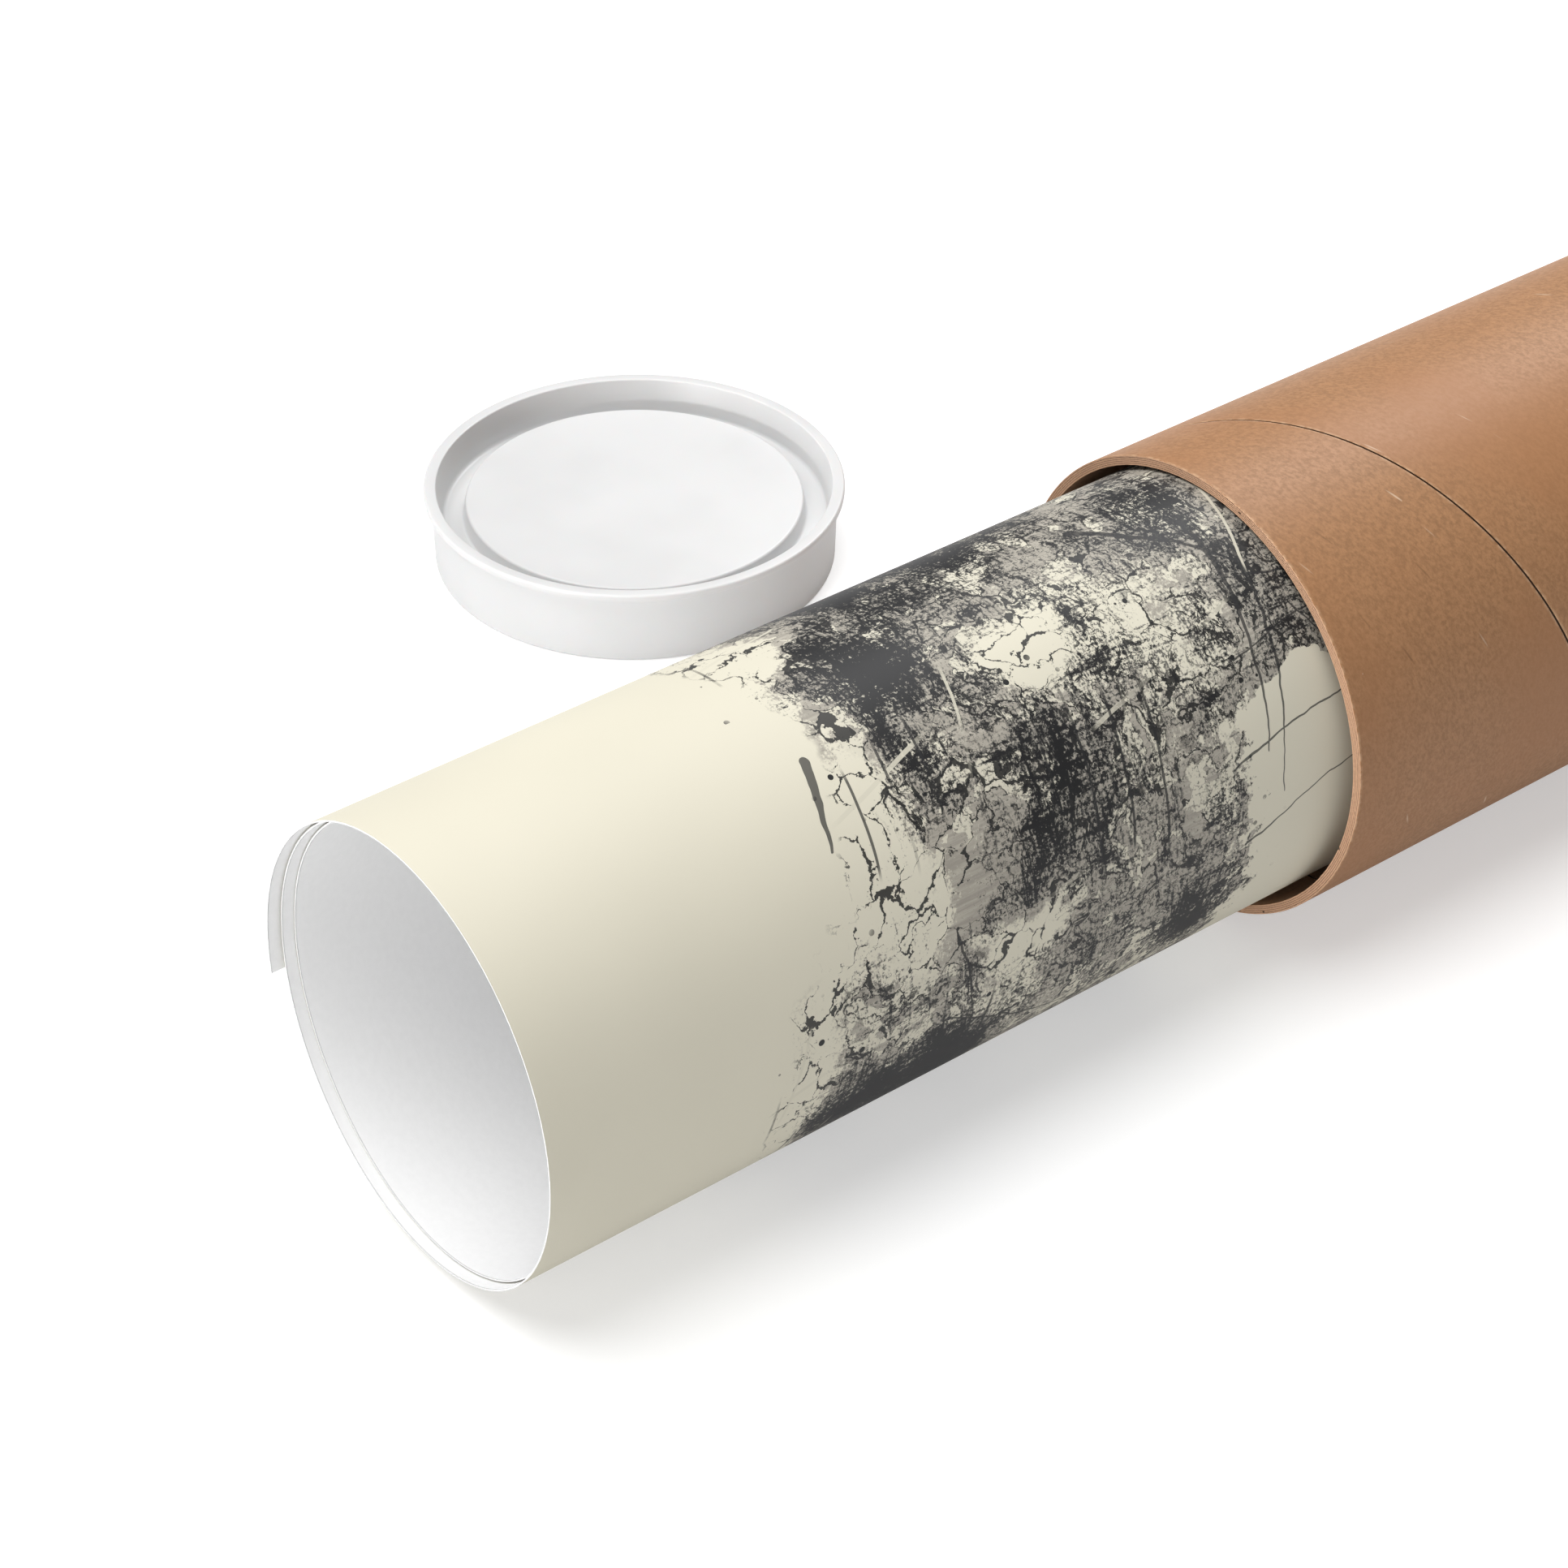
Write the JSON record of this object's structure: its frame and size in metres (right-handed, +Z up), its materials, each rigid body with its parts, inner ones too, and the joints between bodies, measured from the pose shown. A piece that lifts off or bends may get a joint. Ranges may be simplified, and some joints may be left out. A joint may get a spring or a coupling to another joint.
{
  "type": "drawing tube",
  "caption": "Spiral-wound kraft board tube with push-in white plastic end caps and a rolled print drawn out of its open mouth.",
  "frame": {"origin": "middle of the line that the tube rests on, at the underside of the kraft wrap", "axes": "+X along the tube, from its open mouth to its capped end; +Z up; the loose cap lies towards +Y"},
  "size_m": [0.6147, 0.2169, 0.0794],
  "materials": {
    "kraft_paper": "smooth brown kraft paper with fine fibre flecks and a low sheen",
    "tube_board": "raw brown board, matt",
    "print_paper": "uncoated cream art paper, white on the back, printed with an abstract ink wash",
    "white_plastic": "moulded, fine satin"
  },
  "bodies": {
    "tube": {"kraft_wrap": "kraft_paper", "core_ply_1": "tube_board", "core_ply_2": "tube_board", "core_ply_3": "tube_board", "inner_liner": "tube_board"},
    "print": {"rolled_print": "print_paper"},
    "far_cap": {"far_end_cap": "white_plastic"},
    "loose_cap": {"mouth_cap": "white_plastic"}
  },
  "joints": [
    {"name": "print_slide", "type": "slide", "parent": "tube", "child": "print", "axis": [-1, 0, 0], "range_m": [-0.173, 0.275]},
    {"name": "far_cap_pull", "type": "slide", "parent": "tube", "child": "far_cap", "axis": [1, 0, 0], "range_m": [0, 0.04]},
    {"name": "loose_cap_lift", "type": "slide", "parent": "tube", "child": "loose_cap", "axis": [0, 0, 1], "range_m": [0, 0.15]}
  ]
}
